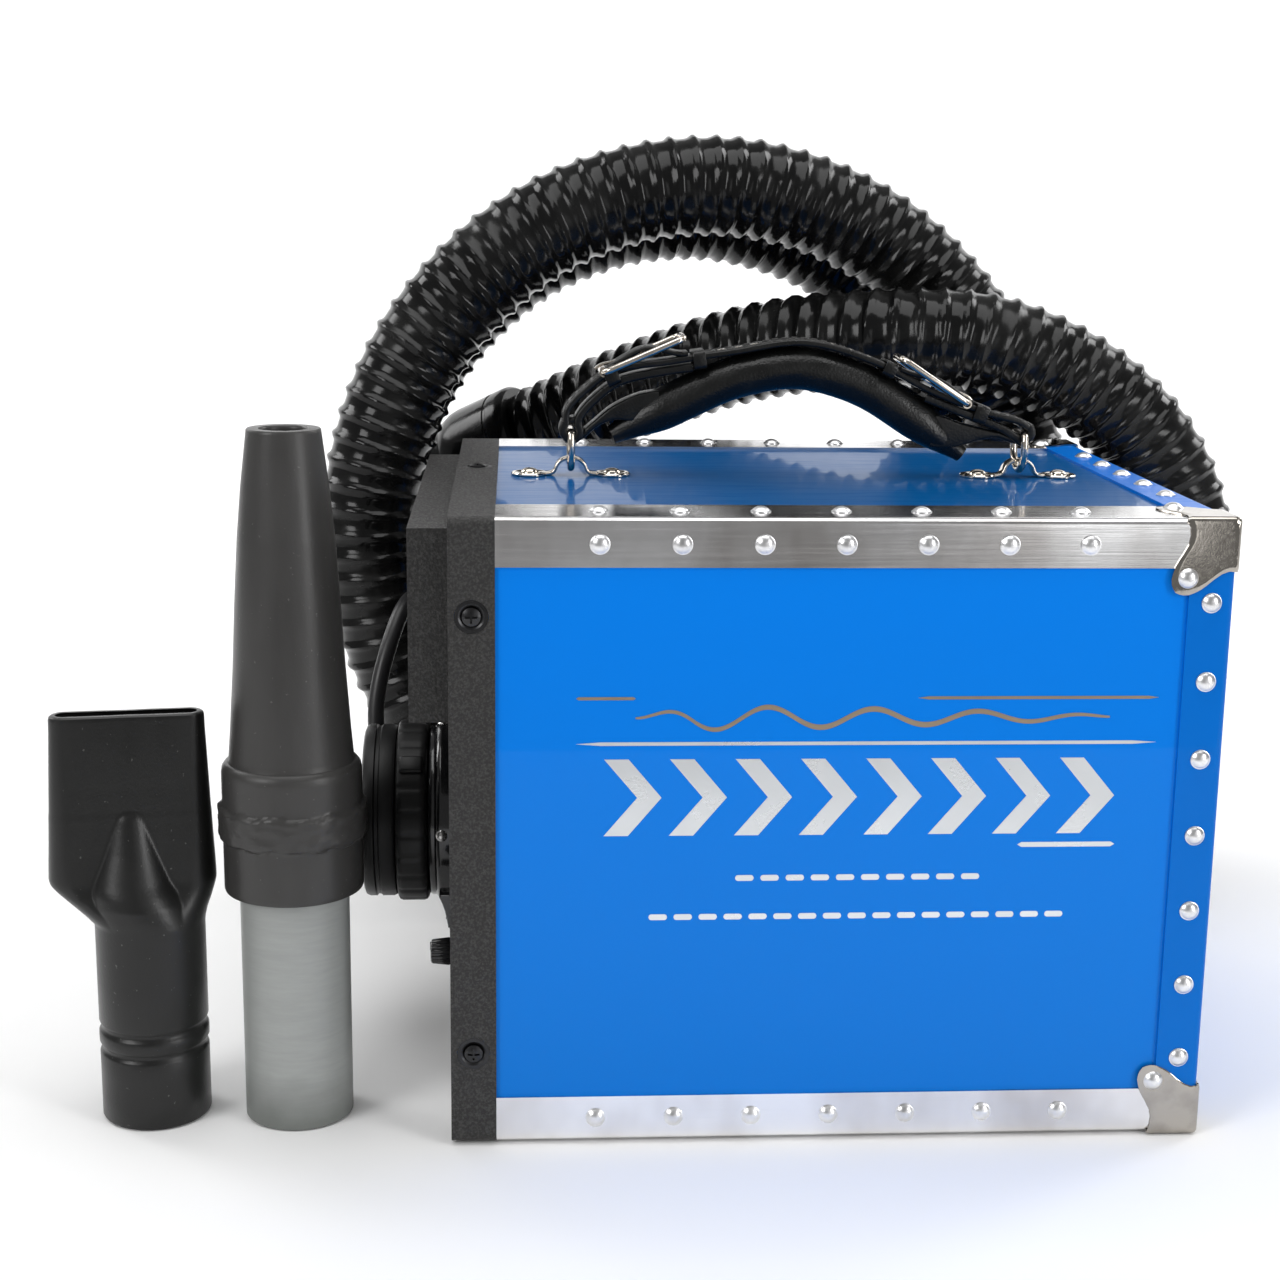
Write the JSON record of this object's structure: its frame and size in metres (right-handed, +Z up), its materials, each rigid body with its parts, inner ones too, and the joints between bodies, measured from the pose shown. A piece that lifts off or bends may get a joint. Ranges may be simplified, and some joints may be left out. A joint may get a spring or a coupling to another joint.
{
  "type": "car dryer blower",
  "caption": "Portable car dryer blower in a riveted blue case with a strap handle, an outlet and speed control on its black end, a corrugated hose, a cone nozzle and a flat nozzle.",
  "frame": {"origin": "middle of the base pad's underside, on the surface that the case stands on", "axes": "+X from the control cap towards the closed end, -Y the front face, +Z up"},
  "size_m": [0.5657, 0.4401, 0.405],
  "materials": {
    "laminate": "blue high-gloss laminate on plywood",
    "blue_trim": "blue painted angle",
    "aluminium_trim": "bright polished angle",
    "corner_chrome": "bright nickel plate",
    "screw_steel": "zinc-plated screws",
    "textured_black": "wrinkle-textured black powder coat",
    "black_plastic": "gloss black moulding",
    "ring_plastic": "satin dark grey moulding",
    "foam": "open-cell foam",
    "pad_rubber": "ribbed anti-slip rubber",
    "cord_rubber": "satin rubber jacket",
    "plug_brass": "plain brass",
    "plywood": "bare plywood",
    "fan_aluminium": "spun aluminium",
    "plain_steel": "plain steel",
    "copper_winding": "varnished copper wire",
    "leather": "black stitched leather",
    "nozzle_plastic": "satin charcoal moulding",
    "grey_tube": "light grey tube",
    "hose_plastic": "glossy black corrugated hose"
  },
  "bodies": {
    "case": {"front_panel": "laminate", "back_panel": "laminate", "top_panel": "laminate", "bottom_panel": "laminate", "end_panel": "laminate", "base_pad": "pad_rubber", "trim_top_front": "aluminium_trim", "trim_top_back": "aluminium_trim", "trim_bottom_front": "aluminium_trim", "trim_bottom_back": "aluminium_trim", "end_trim_top": "blue_trim", "end_trim_bottom": "blue_trim", "end_trim_front": "blue_trim", "end_trim_back": "blue_trim", "corner_protectors": "corner_chrome", "corner_rivets": "corner_chrome", "trim_rivets": "aluminium_trim", "end_trim_rivets": "blue_trim", "control_cap": "textured_black", "cap_screws": "screw_steel", "filter_frame": "textured_black", "filter_foam": "foam", "filter_grille": "black_plastic", "filter_screws": "screw_steel", "outlet_flange": "black_plastic", "flange_screws": "screw_steel", "switch_body": "black_plastic", "speed_control": "plain_steel", "strain_relief": "cord_rubber", "power_cord": "cord_rubber", "power_cord_coil": "cord_rubber", "power_plug": "cord_rubber", "plug_blades": "plug_brass", "bulkhead": "plywood", "baffle": "plywood", "motor_gasket": "foam", "fan_shell": "fan_aluminium", "fan_diffuser": "fan_aluminium", "motor_frame": "fan_aluminium", "stator_core": "plain_steel", "stator_windings": "copper_winding", "bearings": "plain_steel", "carbon_brushes": "plug_brass", "handle_brackets": "corner_chrome", "bracket_rivets": "corner_chrome", "air_hose": "hose_plastic", "hose_cuffs": "hose_plastic"},
    "handle": {"handle_grip": "leather", "handle_strap": "leather", "handle_rings": "corner_chrome"},
    "lock_ring": {"locking_ring": "ring_plastic"},
    "swivel": {"hose_socket": "ring_plastic"},
    "rocker": {"switch_rocker": "black_plastic"},
    "knob": {"speed_knob": "black_plastic"},
    "rotor": {"motor_shaft": "plain_steel", "armature": "plain_steel", "impellers": "fan_aluminium"},
    "long_nozzle_body": {"nozzle_cone": "nozzle_plastic", "nozzle_tube": "grey_tube"},
    "flat_nozzle_body": {"flat_nozzle": "nozzle_plastic"}
  },
  "joints": [
    {"name": "handle_swing", "type": "hinge", "parent": "case", "child": "handle", "pos_m": [0, 0, 0.2672], "axis": [1, 0, 0], "range_deg": [-55, 55]},
    {"name": "socket_swivel", "type": "hinge", "parent": "case", "child": "swivel", "pos_m": [-0.185, 0, 0.102], "axis": [1, 0, 0], "continuous": true},
    {"name": "ring_lock", "type": "hinge", "parent": "swivel", "child": "lock_ring", "pos_m": [-0.171, 0, 0.102], "axis": [1, 0, 0], "range_deg": [0, 60]},
    {"name": "power_switch", "type": "hinge", "parent": "case", "child": "rocker", "pos_m": [-0.153, -0.06, 0.0765], "axis": [0, 1, 0], "range_deg": [0, 16]},
    {"name": "speed_turn", "type": "hinge", "parent": "case", "child": "knob", "pos_m": [-0.155, -0.06, 0.057], "axis": [-1, 0, 0], "range_deg": [0, 280]},
    {"name": "motor_spin", "type": "hinge", "parent": "case", "child": "rotor", "pos_m": [-0.06, 0, 0.102], "axis": [1, 0, 0], "continuous": true},
    {"name": "long_nozzle_lift", "type": "slide", "parent": "case", "child": "long_nozzle_body", "axis": [0, 0, 1], "range_m": [0, 0.3]},
    {"name": "flat_nozzle_lift", "type": "slide", "parent": "case", "child": "flat_nozzle_body", "axis": [0, 0, 1], "range_m": [0, 0.2]}
  ]
}
